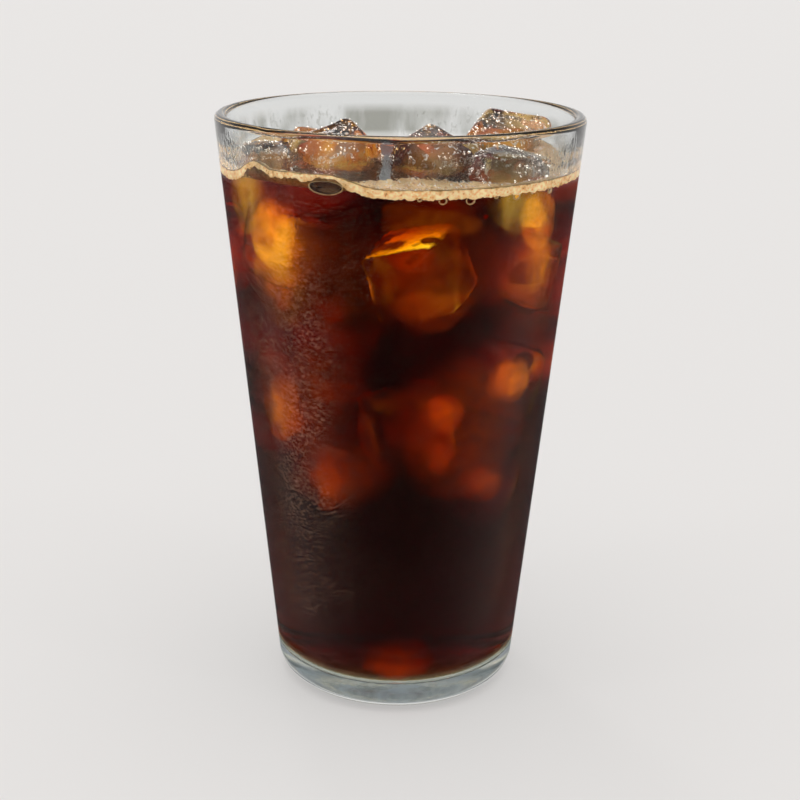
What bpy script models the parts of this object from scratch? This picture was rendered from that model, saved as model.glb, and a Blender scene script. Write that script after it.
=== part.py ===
# Iced coffee in a tapered tumbler: the glass, the drink, a ring of foam and the ice that floats out of it.
# Metres, +Z up, origin at the middle of the foot on the table. The front is towards -Y.

import math

import bmesh
import bpy
from mathutils import Euler, Vector, noise

# Driving dimensions of the tumbler, from which the rest is worked out
RIM_DIAMETER = 0.088
HEIGHT = 0.1435
FOOT_DIAMETER = 0.060  # where the line of the outer wall would meet the table
HEEL_RADIUS = 0.0063
WALL_AT_RIM = 0.0030
WALL_AT_FLOOR = 0.0036
FLOOR_THICKNESS = 0.0056  # over the table, at the middle of the inside
FLOOR_DISH = 0.0006  # how far the floor rises towards the wall before its corner
CORNER_RADIUS = 0.0065

# The recess under the foot
RING_WIDTH = 0.0018
RECESS_STEP = 0.0013
RECESS_HEIGHT = 0.0026

# What the glass holds
DRINK_LEVEL = 0.1312
MENISCUS_CLIMB = 0.0006
MENISCUS_WIDTH = 0.0022
FOAM_DEPTH = 0.0019  # against the wall
FOAM_RISE = 0.0005  # over the drink
FOAM_WIDTH = 0.0045
FOAM_PATCH_WIDTH = 0.0120  # what the patch at the front adds to it
FOAM_SCALLOP = 0.0013
GAP = 0.0003  # between pieces that touch

SEGMENTS = 64  # round the axis
ICE_CUTS = 5
ICE_ROUNDING = 0.0024
ICE_MELT = 0.0011  # how uneven the faces are
ICE_OFF_WALL = 0.0013

# Each piece of ice: its three sides, its middle and its turn in degrees about X, Y and Z
ICE = {
    "ice_1": ((0.0175, 0.0185, 0.0190), (-0.0148, -0.0008, 0.1289), (24, 22, -57)),
    "ice_2": ((0.0110, 0.0180, 0.0210), (-0.0318, -0.0125, 0.1254), (5, 6, 20)),
    "ice_3": ((0.0175, 0.0175, 0.0190), (0.0076, -0.0055, 0.1287), (18, 22, -26)),
    "ice_4": ((0.0185, 0.0195, 0.0200), (0.0258, 0.0110, 0.1302), (23, 8, -22)),
    "ice_5": ((0.0150, 0.0160, 0.0170), (0.0240, -0.0230, 0.1292), (-4, 6, -30)),
    "ice_6": ((0.0180, 0.0165, 0.0185), (-0.0222, 0.0216, 0.1250), (15, 12, -15)),
}

# Where drink and foam climb in the gap between ice and wall: direction in degrees, spread, climb
CLIMBS = ((218.5, 8.5, 0.0029), (220.5, 5, 0.0007), (234, 9.5, 0.0023), (249, 9.5, 0.0025))

WALL_LEAN = math.atan2((RIM_DIAMETER - FOOT_DIAMETER) / 2, HEIGHT)
LIP_RADIUS = WALL_AT_RIM / 2


def clear_scene():
    for obj in list(bpy.data.objects):
        bpy.data.objects.remove(obj, do_unlink=True)


def make_material(name, colour, roughness, transmission=0.0, ior=1.45):
    material = bpy.data.materials.new(name)
    material.use_nodes = True
    shader = material.node_tree.nodes["Principled BSDF"]
    shader.inputs["Base Color"].default_value = (*colour, 1.0)
    shader.inputs["Roughness"].default_value = roughness
    shader.inputs["Metallic"].default_value = 0.0
    shader.inputs["Transmission Weight"].default_value = transmission
    shader.inputs["IOR"].default_value = ior
    return material


def outer_radius(z):
    return FOOT_DIAMETER / 2 + math.tan(WALL_LEAN) * z


def inner_radius(z):
    thickness = WALL_AT_FLOOR + (WALL_AT_RIM - WALL_AT_FLOOR) * z / HEIGHT
    return outer_radius(z) - thickness / math.cos(WALL_LEAN)


INNER_LEAN = math.atan2(inner_radius(HEIGHT) - inner_radius(0), HEIGHT)


def arc(centre, radius, start_deg, end_deg, steps):
    """Points (r, z) on an arc, both ends among them."""
    angles = (
        math.radians(start_deg + (end_deg - start_deg) * i / steps)
        for i in range(steps + 1)
    )
    return [
        (centre[0] + radius * math.cos(a), centre[1] + radius * math.sin(a))
        for a in angles
    ]


def foot_profile():
    """The underside and the heel, from the axis outwards: a shallow recess inside a narrow ring."""
    lean = math.degrees(WALL_LEAN)
    heel_middle = outer_radius(HEEL_RADIUS) - HEEL_RADIUS / math.cos(WALL_LEAN)
    ring_inside = heel_middle - RING_WIDTH
    recess_edge = ring_inside - RECESS_STEP
    dome = [
        (recess_edge * share, RECESS_HEIGHT - (RECESS_HEIGHT - RECESS_STEP) * share**2)
        for share in (0.0, 0.5, 0.85)
    ]
    step = arc((ring_inside, RECESS_STEP), RECESS_STEP, 180, 270, 3)
    heel = arc((heel_middle, HEEL_RADIUS), HEEL_RADIUS, -90, -lean, 6)
    return dome + step + heel


def lip_profile():
    lean = math.degrees(WALL_LEAN)
    z = HEIGHT - LIP_RADIUS
    middle = (outer_radius(z) - LIP_RADIUS / math.cos(WALL_LEAN), z)
    return arc(middle, LIP_RADIUS, -lean, 180 - lean, 8)


def cavity_profile(inset=0.0):
    """The corner between wall and floor and the floor, from the wall in to the axis."""
    lean = math.degrees(INNER_LEAN)
    corner_z = FLOOR_THICKNESS + FLOOR_DISH + CORNER_RADIUS
    corner_r = inner_radius(corner_z) - CORNER_RADIUS / math.cos(INNER_LEAN)
    corner = arc((corner_r, corner_z), CORNER_RADIUS - inset, -lean, -90, 6)
    floor = [
        (corner_r * share, FLOOR_THICKNESS + FLOOR_DISH * share**2 + inset)
        for share in (0.6, 0.0)
    ]
    return corner + floor


def climb(angle):
    """How far above its level the drink stands against the wall in this direction."""
    total = 0.0
    for direction, spread, height in CLIMBS:
        off = math.remainder(angle - math.radians(direction), 2 * math.pi)
        total += height * math.exp(-((off / math.radians(spread)) ** 2))
    return total


def drink_profile(angle):
    """The drink's outline in one direction: its surface from the axis out, then down inside the glass."""
    level = DRINK_LEVEL
    edge = inner_radius(level) - GAP
    brim = level + MENISCUS_CLIMB + climb(angle)
    rising = level + (brim - level) * 0.35
    width = MENISCUS_WIDTH + climb(angle) * 0.6
    surface = [(edge * share, level) for share in (0.0, 0.4, 0.75)]
    slope = [
        (edge - width, level),
        (edge - width * 0.35, rising),
        (inner_radius(brim) - GAP, brim),
    ]
    return surface + slope + cavity_profile(GAP)


def foam_width(angle):
    """How far the foam reaches in from the wall: a scalloped edge, and a wide patch at the front."""
    front = math.exp(-((math.remainder(angle + math.pi * 0.49, 2 * math.pi) / 0.36) ** 2))
    scallop = math.sin(5 * angle + 0.8) + 0.6 * math.sin(9 * angle)
    return FOAM_WIDTH + FOAM_PATCH_WIDTH * front + FOAM_SCALLOP * scallop


def foam_profile(angle, grow=0.0):
    """The foam's section in one direction: deep at the wall, thin over the drink. Grown, it is the room it needs."""
    brim = DRINK_LEVEL + climb(angle)
    top = brim + FOAM_RISE
    low = top - FOAM_DEPTH
    width = foam_width(angle) + grow
    over = FOAM_RISE + (3 * GAP if grow else 0.0)
    inner = inner_radius(brim) - GAP - width
    ledge = DRINK_LEVEL - FOAM_DEPTH * 0.3 - grow
    return [
        (inner_radius(low) - GAP + 2 * grow, low - grow),
        (inner_radius(top) - GAP + 2 * grow, brim + over),
        (inner + width * 0.8, brim + over),
        (inner + width * 0.5, DRINK_LEVEL + over),
        (inner, DRINK_LEVEL + over * 0.8),
        (inner, ledge),
        (inner + width * 0.6, ledge),
    ]


def turned(name, profile):
    """A closed body turned about Z from points (r, z) that start and end on the axis."""
    bm = bmesh.new()
    verts = [bm.verts.new((r, 0.0, z)) for r, z in profile]
    edges = [bm.edges.new(pair) for pair in zip(verts, verts[1:])]
    bmesh.ops.spin(
        bm,
        geom=verts + edges,
        axis=(0, 0, 1),
        cent=(0, 0, 0),
        angle=2 * math.pi,
        steps=SEGMENTS,
        use_merge=True,
    )
    return finish_mesh(name, bm)


def swept(name, profile_at, closed):
    """A body swept round Z whose profile changes with the direction."""
    bm = bmesh.new()
    spokes = []
    for i in range(SEGMENTS):
        angle = 2 * math.pi * i / SEGMENTS
        out = Vector((math.cos(angle), math.sin(angle), 0))
        spokes.append([bm.verts.new(out * r + Vector((0, 0, z))) for r, z in profile_at(angle)])
    count = len(spokes[0])
    for spoke, following in zip(spokes, spokes[1:] + spokes[:1]):
        for i in range(count if closed else count - 1):
            # split here, so that a body and the room cut for it bend along the same lines
            j = (i + 1) % count
            bm.faces.new((spoke[i], following[i], following[j]))
            bm.faces.new((spoke[i], following[j], spoke[j]))
    return finish_mesh(name, bm)


def finish_mesh(name, bm):
    bmesh.ops.remove_doubles(bm, verts=bm.verts, dist=1e-6)
    bmesh.ops.recalc_face_normals(bm, faces=bm.faces)
    mesh = bpy.data.meshes.new(name)
    bm.to_mesh(mesh)
    bm.free()
    mesh.shade_smooth()
    mesh.set_sharp_from_angle(angle=math.radians(40))
    return mesh


def ice_mesh(name, grow=0.0):
    """A cube with rounded edges, unevenly melted and clear of the wall. Grown, it is the room it needs."""
    sides, middle, turn = ICE[name]
    half = Vector(sides) / 2
    core = half - Vector((ICE_ROUNDING,) * 3)
    to_place = Euler([math.radians(a) for a in turn]).to_matrix()
    seed = Vector((3.7, 1.9, 5.3)) * list(ICE).index(name)
    bm = bmesh.new()
    bmesh.ops.create_cube(bm, size=2.0)
    bmesh.ops.subdivide_edges(bm, edges=bm.edges, cuts=ICE_CUTS, use_grid_fill=True)
    for vert in bm.verts:
        point = Vector([vert.co[i] * half[i] for i in range(3)])
        inner = Vector([max(-core[i], min(core[i], point[i])) for i in range(3)])
        outward = (point - inner).normalized()
        melt = ICE_MELT * (noise.noise(vert.co * 0.9 + seed) - 0.25)
        placed = to_place @ (inner + outward * (ICE_ROUNDING + melt + grow)) + Vector(middle)
        limit = inner_radius(placed.z) - ICE_OFF_WALL + grow
        reach = math.hypot(placed.x, placed.y)
        if reach > limit:
            placed.xy *= limit / reach
        vert.co = placed
    bmesh.ops.triangulate(bm, faces=bm.faces)
    return finish_mesh(name, bm)


def place(name, mesh, material):
    obj = bpy.data.objects.new(name, mesh)
    bpy.context.scene.collection.objects.link(obj)
    mesh.materials.append(material)
    return obj


def make_cutters(label, meshes):
    """Meshes that hollow out other parts: never rendered, and kept in a collection of their own."""
    collection = bpy.data.collections.new(label)
    bpy.context.scene.collection.children.link(collection)
    for mesh in meshes:
        cutter = bpy.data.objects.new(f"cut_{mesh.name}", mesh)
        cutter.hide_render = True
        cutter.display_type = "WIRE"
        collection.objects.link(cutter)
    return collection


def cut(obj, collection):
    modifier = obj.modifiers.new("hollows", "BOOLEAN")
    modifier.operation = "DIFFERENCE"
    modifier.solver = "EXACT"
    modifier.operand_type = "COLLECTION"
    modifier.collection = collection


def build():
    clear_scene()
    clear_glass = make_material("soda lime glass", (0.93, 0.95, 0.94), 0.03, 1.0, 1.52)
    coffee = make_material("black coffee", (0.045, 0.012, 0.004), 0.05)
    crema = make_material("coffee foam", (0.70, 0.52, 0.32), 0.55)
    clear_ice = make_material("wet ice", (0.78, 0.66, 0.50), 0.08, 0.8, 1.31)

    profile = foot_profile() + lip_profile() + cavity_profile()
    place("tumbler", turned("tumbler", profile), clear_glass)
    for name in ICE:
        place(name, ice_mesh(name), clear_ice)
    ice_room = make_cutters("room for the ice", [ice_mesh(name, GAP) for name in ICE])

    foam = place("foam_ring", swept("foam_ring", foam_profile, True), crema)
    cut(foam, ice_room)
    grown_foam = swept("foam_room", lambda angle: foam_profile(angle, GAP), True)
    foam_room = make_cutters("room for the foam", [grown_foam])

    drink = place("coffee", swept("coffee", drink_profile, False), coffee)
    cut(drink, foam_room)
    cut(drink, ice_room)


build()
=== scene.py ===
from contextlib import contextmanager
from math import atan2, cos, degrees, exp, radians, remainder, sin, tan, tau

import bmesh
import bpy
from mathutils import Euler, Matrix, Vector, noise


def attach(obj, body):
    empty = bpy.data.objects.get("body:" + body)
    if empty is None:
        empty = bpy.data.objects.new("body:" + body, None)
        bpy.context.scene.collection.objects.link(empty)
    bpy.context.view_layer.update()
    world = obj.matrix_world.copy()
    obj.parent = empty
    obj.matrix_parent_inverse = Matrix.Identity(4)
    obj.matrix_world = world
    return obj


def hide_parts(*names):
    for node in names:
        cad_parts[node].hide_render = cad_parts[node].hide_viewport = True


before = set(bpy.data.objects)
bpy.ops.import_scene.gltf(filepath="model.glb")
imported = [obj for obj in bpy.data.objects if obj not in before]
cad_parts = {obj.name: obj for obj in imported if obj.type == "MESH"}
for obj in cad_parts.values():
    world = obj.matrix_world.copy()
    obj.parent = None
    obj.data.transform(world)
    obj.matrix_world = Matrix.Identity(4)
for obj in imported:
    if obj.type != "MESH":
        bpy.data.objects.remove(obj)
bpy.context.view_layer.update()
scene = bpy.context.scene
mm = 0.001
white = (1, 1, 1, 1)
noMirror = (0, 0, 0, 1)


def hexColour(code):
    # sRGB hex to the linear colour that shaders take
    parts = [int(code[i : i + 2], 16) / 255 for i in (1, 3, 5)]
    return tuple(c / 12.92 if c <= 0.04045 else ((c + 0.055) / 1.055) ** 2.4 for c in parts) + (1.0,)


def addNode(tree, kind, links=None, **settings):
    # one node with its settings, its fixed values or colour codes, and its links
    node = tree.nodes.new(kind)
    for key, value in settings.items():
        setattr(node, key, value)
    for key, value in (links or {}).items():
        if isinstance(value, bpy.types.NodeSocket):
            tree.links.new(value, node.inputs[key])
        elif isinstance(value, str) and value.startswith("#"):
            node.inputs[key].default_value = hexColour(value)
        else:
            node.inputs[key].default_value = value
    return node


def nodeOut(tree, kind, links=None, **settings):
    # the first output in use of a new node
    return next(o for o in addNode(tree, kind, links, **settings).outputs if o.enabled)


def geometryOut(tree, kind, links=None, **settings):
    return nodeOut(tree, f"GeometryNode{kind}", links, **settings)


def maths(tree, operation, *values):
    return nodeOut(tree, "ShaderNodeMath", dict(enumerate(values)), operation=operation)


def product(tree, first, *others):
    for other in others:
        first = maths(tree, "MULTIPLY", first, other)
    return first


def vectorMaths(tree, operation, *values):
    return nodeOut(tree, "ShaderNodeVectorMath", dict(enumerate(values)), operation=operation)


def scaled(tree, vector, amount):
    return nodeOut(tree, "ShaderNodeVectorMath", {0: vector, "Scale": amount}, operation="SCALE")


def remap(tree, value, low, high, toLow=0.0, toHigh=1.0, **settings):
    links = {"Value": value, "From Min": low, "From Max": high, "To Min": toLow, "To Max": toHigh}
    return nodeOut(tree, "ShaderNodeMapRange", links, **settings)


def noiseAt(tree, place, size, detail=2.0, stretch=None):
    # noise whose lumps are of a real size, in mm
    if stretch is not None:
        place = vectorMaths(tree, "MULTIPLY", place, stretch)
    links = {"Vector": place, "Scale": 1 / (size * mm), "Detail": detail}
    return addNode(tree, "ShaderNodeTexNoise", links).outputs["Fac"]


def ramp(tree, value, stops):
    node = addNode(tree, "ShaderNodeValToRGB", {0: value})
    elements = node.color_ramp.elements
    while len(elements) < len(stops):
        elements.new(0.5)
    for element, (position, colour) in zip(elements, stops):
        element.position = position
        element.color = colour
    return node.outputs[0]


def mixColours(tree, share, first, second):
    links = {0: share, 6: first, 7: second}
    return nodeOut(tree, "ShaderNodeMix", links, data_type="RGBA")


def mixShaders(tree, share, first, second):
    return nodeOut(tree, "ShaderNodeMixShader", {0: share, 1: first, 2: second})


def shader(tree, kind, links):
    return nodeOut(tree, f"ShaderNodeBsdf{kind}", links)


def emission(tree, colour, strength):
    return nodeOut(tree, "ShaderNodeEmission", {"Color": colour, "Strength": strength})


def bump(tree, height, strength, distance):
    return nodeOut(tree, "ShaderNodeBump", {"Height": height, "Strength": strength, "Distance": distance})


def attribute(tree, name):
    return addNode(tree, "ShaderNodeAttribute", attribute_name=name).outputs["Fac"]


def objectPlace(tree):
    return addNode(tree, "ShaderNodeTexCoord").outputs["Object"]


def heightOf(tree, place):
    return addNode(tree, "ShaderNodeSeparateXYZ", {0: place}).outputs["Z"]


def clearOf(tree):
    return shader(tree, "Transparent", {"Color": white})


def slantOf(tree):
    # 0 where the surface faces the eye, 1 where it turns away
    return addNode(tree, "ShaderNodeLayerWeight", {"Blend": 0.5}).outputs["Facing"]


def normalOf(tree):
    return addNode(tree, "ShaderNodeNewGeometry").outputs["Normal"]


def newMaterial(name):
    material = bpy.data.materials.new(name)
    material.use_nodes = True
    material.node_tree.nodes.clear()
    return material, material.node_tree


def finished(material, surface, **more):
    addNode(material.node_tree, "ShaderNodeOutputMaterial", {"Surface": surface, **more})
    return material


def newObject(name, mesh, material=None):
    obj = bpy.data.objects.new(name, mesh)
    scene.collection.objects.link(obj)
    if material is not None:
        mesh.materials.clear()
        mesh.materials.append(material)
    return obj


def meshOf(bm, name):
    # the bmesh's work as a mesh of its own
    mesh = bpy.data.meshes.new(name)
    bm.to_mesh(mesh)
    bm.free()
    return mesh


@contextmanager
def editing(mesh):
    # the mesh as a bmesh, written back at the end
    bm = bmesh.new()
    bm.from_mesh(mesh)
    yield bm
    bm.to_mesh(mesh)
    bm.free()


def meshFrom(name, verts, faces):
    # a mesh from plain lists, welded, with its faces turned outwards
    mesh = bpy.data.meshes.new(name)
    mesh.from_pydata(verts, [], faces)
    with editing(mesh) as bm:
        bmesh.ops.remove_doubles(bm, verts=bm.verts, dist=1e-7)
        bmesh.ops.recalc_face_normals(bm, faces=bm.faces)
    mesh.shade_smooth()
    return mesh


def turnedMesh(name, sections, closed):
    # a skin through sections (radius, height) that stand at even turns round Z
    verts, faces = [], []
    count = len(sections[0])
    for i, section in enumerate(sections):
        angle = tau * i / len(sections)
        c, s = cos(angle), sin(angle)
        verts += [(r * c, r * s, z) for r, z in section]
        a, b = i * count, (i + 1) % len(sections) * count
        for k in range(count if closed else count - 1):
            j = (k + 1) % count
            faces.append((a + k, b + k, b + j, a + j))
    return meshFrom(name, verts, faces)


def addValues(mesh, name, values, domain="FACE"):
    # an attribute that a material or a node tree reads
    mesh.attributes.new(name, "FLOAT", domain).data.foreach_set("value", values)


def markFaces(mesh, name, test):
    # 1 where the test on the face's middle and normal holds
    addValues(mesh, name, [1.0 if test(p.center, p.normal) else 0.0 for p in mesh.polygons])


def applyAll(obj):
    # what the modifiers make becomes the object's plain mesh
    graph = bpy.context.evaluated_depsgraph_get()
    made = bpy.data.meshes.new_from_object(obj.evaluated_get(graph))
    obj.modifiers.clear()
    old, obj.data = obj.data, made
    bpy.data.meshes.remove(old)
    made.name = obj.name


def addNodesModifier(obj, tree, values):
    # inputs are set by the sockets' identifiers, before anything is evaluated
    modifier = obj.modifiers.new(tree.name, "NODES")
    modifier.node_group = tree
    for item in tree.interface.items_tree:
        if item.item_type == "SOCKET" and item.in_out == "INPUT" and item.name in values:
            modifier[item.identifier] = values[item.name]


def newTree(name, inputs):
    tree = bpy.data.node_groups.new(name, "GeometryNodeTree")
    tree.is_modifier = True
    tree.interface.new_socket("Geometry", in_out="INPUT", socket_type="NodeSocketGeometry")
    for label, kind in inputs.items():
        tree.interface.new_socket(label, in_out="INPUT", socket_type=f"NodeSocket{kind}")
    tree.interface.new_socket("Geometry", in_out="OUTPUT", socket_type="NodeSocketGeometry")
    return tree, tree.nodes.new("NodeGroupInput").outputs


def endTree(tree, geometry, material):
    # what a tree makes goes out as one real mesh, smooth and with its material
    real = geometryOut(tree, "RealizeInstances", {"Geometry": geometry})
    smooth = geometryOut(tree, "SetShadeSmooth", {"Geometry": real})
    dressed = geometryOut(tree, "SetMaterial", {"Geometry": smooth, "Material": material})
    addNode(tree, "NodeGroupOutput", {0: dressed})
    return tree


def addPiece(obj, slotName, *nodeNames):
    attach(obj, "root")
    if nodeNames:
        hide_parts(*nodeNames)


# The tumbler: a pressed glass turned round Z. Sizes in metres, as in the solid that it stands for
tumbler = {
    "rimDiameter": 0.088,
    "height": 0.1435,
    "footDiameter": 0.060,
    "hair": 0.00001,  # how far the lip stays inside the solid's
    "heelRadius": 0.0063,
    "wallAtRim": 0.0030,
    "wallAtFloor": 0.0036,
    "floorThickness": 0.0056,
    "floorDish": 0.0006,
    "cornerRadius": 0.0065,
    "ringWidth": 0.0018,
    "recessStep": 0.0013,
    "recessHeight": 0.0026,
    "segments": 192,
    "clear": "#FBFDFC",
    "ior": 1.52,
}
drink = {
    "level": 0.1312,
    "meniscusClimb": 0.0007,
    "meniscusWidth": 0.0022,
    "meniscusPower": 2.6,
    "intoWall": 0.00015,
    "ior": 1.34,
    "iorOverIce": 1.023,
    "segments": 192,
    "steps": 29,
    "meniscusSteps": 8,
    # rows down the wall, in mm, keep the faces short where air bubbles are cut out
    "rows": (129.4, 126.2, 120, 105, 90, 75, 60, 45, 30),
    # direction in degrees, spread in degrees, climb in metres, where ice nearly meets the wall
    "climbs": ((218.5, 8.5, 0.0029), (220.5, 5, 0.0007), (234, 9.5, 0.0023), (249, 9.5, 0.0025)),
}

wallLean = atan2((tumbler["rimDiameter"] - tumbler["footDiameter"]) / 2, tumbler["height"])


def outerRadius(z):
    return tumbler["footDiameter"] / 2 + tan(wallLean) * z


def innerRadius(z):
    share = z / tumbler["height"]
    thickness = tumbler["wallAtFloor"] + (tumbler["wallAtRim"] - tumbler["wallAtFloor"]) * share
    return outerRadius(z) - thickness / cos(wallLean)


innerLean = atan2(innerRadius(tumbler["height"]) - innerRadius(0), tumbler["height"])


def pastInner(point):
    # how far a point lies outside the inner wall
    return point.xy.length - innerRadius(point.z)


def arcPoints(centre, radius, start, end, steps):
    angles = [radians(start + (end - start) * i / steps) for i in range(steps + 1)]
    return [(centre[0] + radius * cos(a), centre[1] + radius * sin(a)) for a in angles]


def footProfile():
    t = tumbler
    heelMiddle = outerRadius(t["heelRadius"]) - t["heelRadius"] / cos(wallLean)
    ringInside = heelMiddle - t["ringWidth"]
    edge = ringInside - t["recessStep"]
    rise = t["recessHeight"] - t["recessStep"]
    dome = [(edge * s, t["recessHeight"] - rise * s**2) for s in (0, 0.2, 0.4, 0.6, 0.8, 0.93)]
    step = arcPoints((ringInside, t["recessStep"]), t["recessStep"], 180, 270, 8)
    heel = arcPoints((heelMiddle, t["heelRadius"]), t["heelRadius"], -90, -degrees(wallLean), 20)
    return dome + step + heel


def lipProfile():
    radius = tumbler["wallAtRim"] / 2
    z = tumbler["height"] - radius
    lean = degrees(wallLean)
    middle = (outerRadius(z) - radius / cos(wallLean), z)
    return arcPoints(middle, radius - tumbler["hair"], -lean, 180 - lean, 18)


def cavityProfile(grow=0.0):
    # the inside corner and floor; grown, it reaches into the glass
    t = tumbler
    cornerZ = t["floorThickness"] + t["floorDish"] + t["cornerRadius"]
    cornerR = innerRadius(cornerZ) - t["cornerRadius"] / cos(innerLean)
    corner = arcPoints((cornerR, cornerZ), t["cornerRadius"] + grow, -degrees(innerLean), -90, 18)
    bottom = t["floorThickness"] - grow
    floor = [(cornerR * s, bottom + t["floorDish"] * s**2) for s in (0.8, 0.6, 0.4, 0.2, 0)]
    return corner + floor


# The mist outside: the chilled drink leaves it up to its level, and it greys what is behind it
mist = {
    "windowAt": 283,  # degrees round Z, where the wall stays nearly clear
    "bead": 0.8,  # mm across
    "relief": 0.12 * mm,
    # the offset for the light and shade painted on each bead
    "lean": (0.16 * mm, 0.16 * mm, -0.24 * mm),  # from a bead's pale side towards its dark one
    "veil": 0.060,  # share of scattered light where the mist is thickest
    "veilColour": "#C4997E",
    # the grey painted on the shaded side of each bead
    "paintedBeadShade": "#A9A39F",
    "top": drink["level"] + 2.5 * mm,
    "bottom": 17 * mm,
}


def glass(tree, links):
    common = {"Base Color": tumbler["clear"], "IOR": tumbler["ior"], "Transmission Weight": 1.0}
    return shader(tree, "Principled", {**common, "Roughness": 0.0, **links})


def mistCover(tree, place, height, below):
    # how thick the mist lies: thin in the window and towards its ends, patchy between
    radial = vectorMaths(tree, "NORMALIZE", vectorMaths(tree, "MULTIPLY", place, (1, 1, 0)))
    turn = radians(mist["windowAt"])
    facing = vectorMaths(tree, "DOT_PRODUCT", radial, (cos(turn), sin(turn), 0))
    drift = maths(tree, "SUBTRACT", noiseAt(tree, place, 17, 3.0), 0.5)
    swayed = maths(tree, "MULTIPLY_ADD", drift, 0.5, facing)
    openness = remap(tree, swayed, 0.62, 0.93, 1.0, 0.1, interpolation_type="SMOOTHSTEP")
    patches = remap(tree, noiseAt(tree, place, 9, 2.0, (1, 1, 0.5)), 0.35, 0.65, 0.35, 1.0)
    above = remap(tree, height, mist["bottom"], mist["bottom"] + 12 * mm)
    return product(tree, openness, patches, below, above)


def mistedGlass(tree, place, cover, outside):
    slant = slantOf(tree)
    squint = remap(tree, slant, 0.50, 0.80, 1.0, 0.0)
    cover = product(tree, cover, squint)
    misted = product(tree, cover, outside)
    # beads of mist stand about a millimetre apart; light and shade are painted on them, paler on the side
    # that the light comes from
    beads = noiseAt(tree, place, mist["bead"], 0.5)
    shifted = noiseAt(tree, vectorMaths(tree, "ADD", place, mist["lean"]), mist["bead"], 0.5)
    relief = maths(tree, "SUBTRACT", beads, shifted)
    paintedBeadShading = product(tree, misted, remap(tree, relief, 0.10, -0.10))
    strength = product(tree, remap(tree, cover, 0.0, 0.8, 0.25, 1.0), squint)
    backed = glass(
        tree,
        {
            "Base Color": mixColours(tree, paintedBeadShading, tumbler["clear"], mist["paintedBeadShade"]),
            "Roughness": remap(tree, misted, 0.0, 1.0, 0.0, 0.025),
            "Specular Tint": (0.03, 0.03, 0.03, 1),
            "Normal": bump(tree, beads, strength, mist["relief"]),
        },
    )
    # a misted wall hardly mirrors at a slant
    links = {"Color": tumbler["clear"], "IOR": tumbler["ior"], "Roughness": 0.0}
    through = shader(tree, "Refraction", links)
    slanted = product(tree, remap(tree, slant, 0.20, 0.55, 0.0, 0.92), remap(tree, slant, 0.97, 0.90))
    calmed = mixShaders(tree, slanted, backed, through)
    veil = shader(tree, "Diffuse", {"Color": mist["veilColour"]})
    # the veil is painted brighter on each bead's pale side and fainter on its dark one
    paintedVeilShading = remap(tree, relief, -0.10, 0.10, -0.6 * mist["veil"], 2.4 * mist["veil"], clamp=False)
    paintedVeilShading = maths(tree, "MAXIMUM", paintedVeilShading, 0.05 * mist["veil"])
    return mixShaders(tree, product(tree, misted, paintedVeilShading), calmed, veil)


def upperGlass(tree, place, height):
    # a film of water runs down the wall above the drink, and takes some light where it stands thicker
    waves = noiseAt(tree, place, 3.0, 3.0, (1, 1, 0.22))
    film = maths(tree, "ADD", waves, noiseAt(tree, place, 1.1))
    inWall = product(tree, remap(tree, height, 0.1405, 0.138), remap(tree, height, 0.128, 0.131))
    links = {0: inWall, 4: normalOf(tree), 5: bump(tree, film, 0.5, 0.10 * mm)}
    filmed = nodeOut(tree, "ShaderNodeMix", links, data_type="VECTOR", factor_mode="UNIFORM")
    streaks = remap(tree, noiseAt(tree, place, 5.5, 4.0, (1, 1, 0.3)), 0.36, 0.62)
    drops = remap(tree, noiseAt(tree, place, 1.6, 2.0, (1, 1, 0.7)), 0.56, 0.68, 0.0, 0.8)
    wetness = product(tree, maths(tree, "MAXIMUM", streaks, drops), inWall)
    watery = mixColours(tree, wetness, "#F0F3F3", "#AFB1AA")
    return glass(tree, {"Base Color": watery, "Specular Tint": (0.3, 0.3, 0.3, 1), "Normal": filmed})


def footGlass(tree, place):
    # the underside keeps the fine grain of its mould and scatters the floor's light
    marks = bump(tree, noiseAt(tree, place, 2.6, 3.0), 0.9, 0.09 * mm)
    foot = glass(tree, {"Base Color": "#B7CBDE", "Roughness": 0.10, "Normal": marks})
    silver = shader(tree, "Translucent", {"Color": "#BDCCD6"})
    scattered = remap(tree, noiseAt(tree, place, 4.0, 3.0), 0.35, 0.65, 0.25, 0.70)
    return mixShaders(tree, scattered, foot, silver)


def makeTumblerGlass():
    # Soda lime glass, pressed and fire polished: clear, bends light strongly, mirrors softly
    material, tree = newMaterial("sodaLimeGlass")
    place = objectPlace(tree)
    height = heightOf(tree, place)
    outside = attribute(tree, "outside")
    below = remap(tree, height, mist["top"], mist["top"] - 5 * mm)
    hazy = mistedGlass(tree, place, mistCover(tree, place, height, below), outside)
    under = attribute(tree, "underside")
    clear = mixShaders(tree, under, upperGlass(tree, place, height), footGlass(tree, place))
    skin = mixShaders(tree, product(tree, outside, below), clear, hazy)
    # inside, the drink wets the wall up to just above its level and takes its mirroring away
    dry, wet = drink["level"] + 2.5 * mm, drink["level"] + 1.5 * mm
    wetted = product(tree, attribute(tree, "wetted"), remap(tree, height, dry, wet))
    return finished(material, mixShaders(tree, wetted, skin, glass(tree, {"Specular Tint": noMirror})))


def makeTumbler():
    profile = footProfile() + lipProfile() + cavityProfile()
    mesh = turnedMesh("tumblerGlass", [profile] * tumbler["segments"], False)
    obj = newObject("tumblerGlass", mesh, makeTumblerGlass())
    tests = {
        "wetted": lambda c, n: 5 * mm < c.z < drink["level"] and pastInner(c) < 0.4 * mm and n.z > -0.01,
        "outside": lambda c, n: c.z > 14 * mm and pastInner(c) > 1.2 * mm and n.xy.length > 0.3,
        "underside": lambda c, n: c.z < 4 * mm and n.z < -0.3 and c.xy.length < 27 * mm,
    }
    for name, test in tests.items():
        markFaces(mesh, name, test)
    addPiece(obj, "tumbler_glass", "tumbler")
    print("tumbler made")


# What a millimetre of coffee takes out of red, green and blue light
coffeeDims = (0.080, 0.240, 0.800)

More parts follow.
